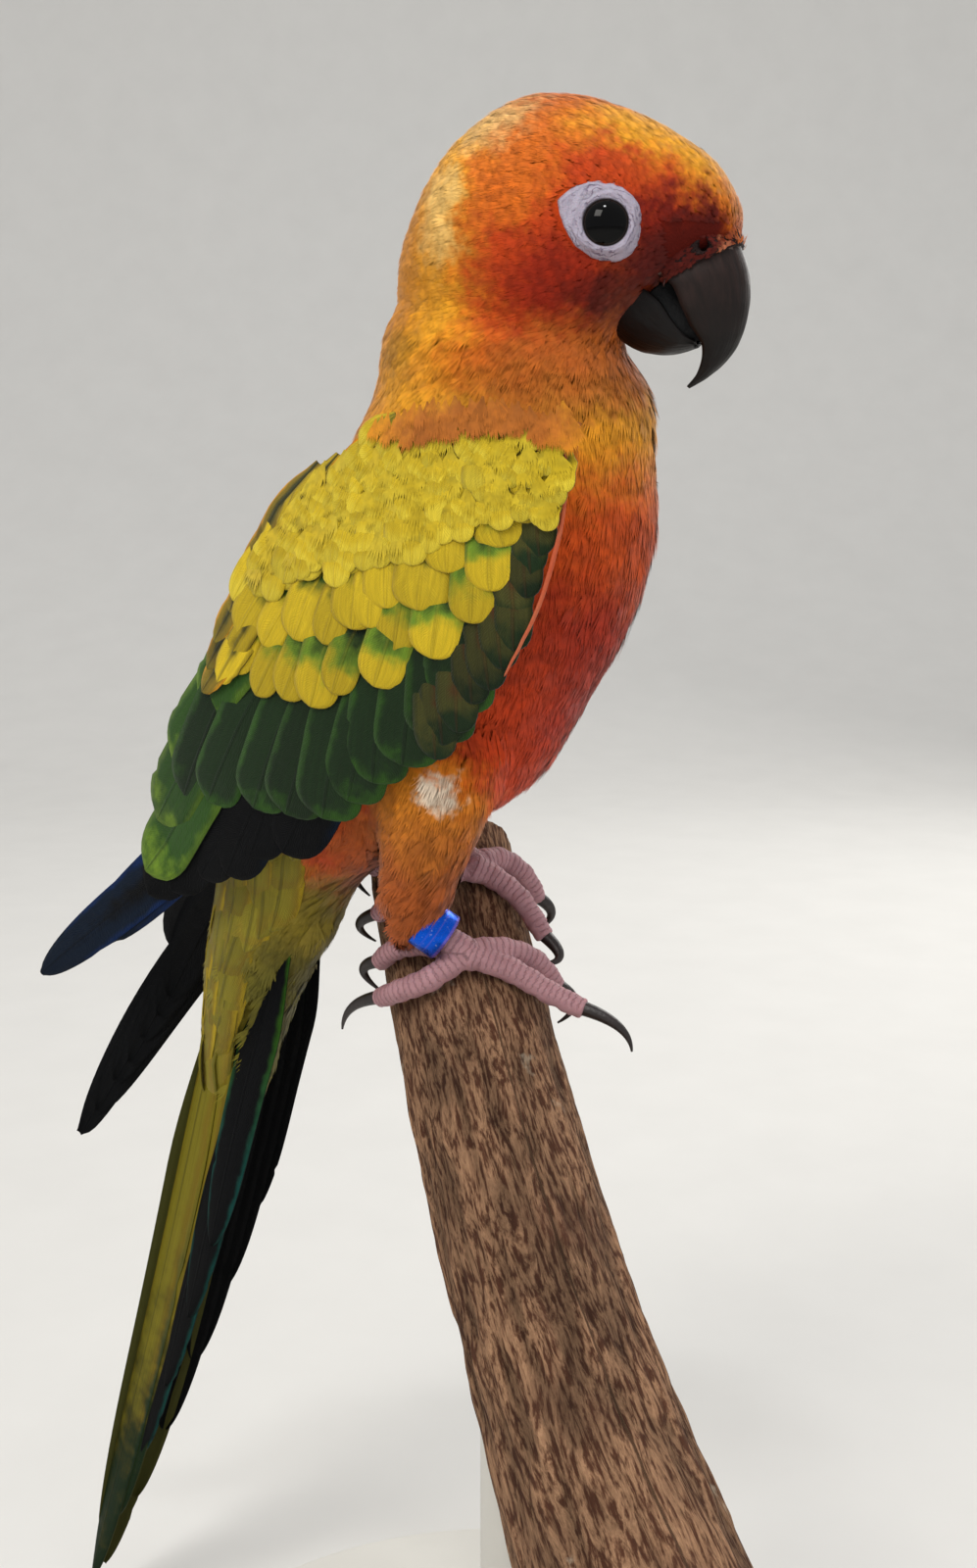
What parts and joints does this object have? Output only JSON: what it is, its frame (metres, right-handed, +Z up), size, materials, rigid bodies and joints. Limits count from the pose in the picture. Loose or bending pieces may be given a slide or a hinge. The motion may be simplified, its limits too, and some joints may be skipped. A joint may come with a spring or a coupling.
{
  "type": "sun conure",
  "caption": "Life-size still sun conure gripping a short length of branch, held by a plain disc base with two rods.",
  "frame": {"origin": "centre of the underside of the stand's round base", "axes": "+X the way the bird faces, +Y towards its left side, +Z up"},
  "size_m": [0.1489, 0.124, 0.2547],
  "materials": {
    "plumage_orange": "soft feathers",
    "plumage_green": "soft feathers",
    "plumage_tail": "soft feathers",
    "cere_skin": "bare skin",
    "bill_horn": "horn, satin",
    "eye": "wet gloss",
    "foot_skin": "scaly skin",
    "claw_horn": "horn, satin",
    "ring_metal": "anodised blue",
    "bark": "rough bark",
    "stand_plastic": "plain matte"
  },
  "bodies": {
    "root": {"head": "plumage_orange", "cere": "cere_skin", "bill_upper": "bill_horn", "bill_lower": "bill_horn", "eye_left": "eye", "eye_right": "eye", "neck": "plumage_orange", "torso": "plumage_orange", "tail": "plumage_tail", "wing_right": "plumage_green", "wing_left": "plumage_green", "thigh_right": "plumage_orange", "shank_right": "foot_skin", "foot_right": "foot_skin", "claw_right_1": "claw_horn", "claw_right_2": "claw_horn", "claw_right_3": "claw_horn", "claw_right_4": "claw_horn", "thigh_left": "plumage_orange", "shank_left": "foot_skin", "foot_left": "foot_skin", "claw_left_1": "claw_horn", "claw_left_2": "claw_horn", "claw_left_3": "claw_horn", "claw_left_4": "claw_horn", "leg_ring": "ring_metal", "perch": "bark", "stand_base": "stand_plastic", "stand_rod_1": "stand_plastic", "stand_rod_2": "stand_plastic"}
  },
  "joints": []
}
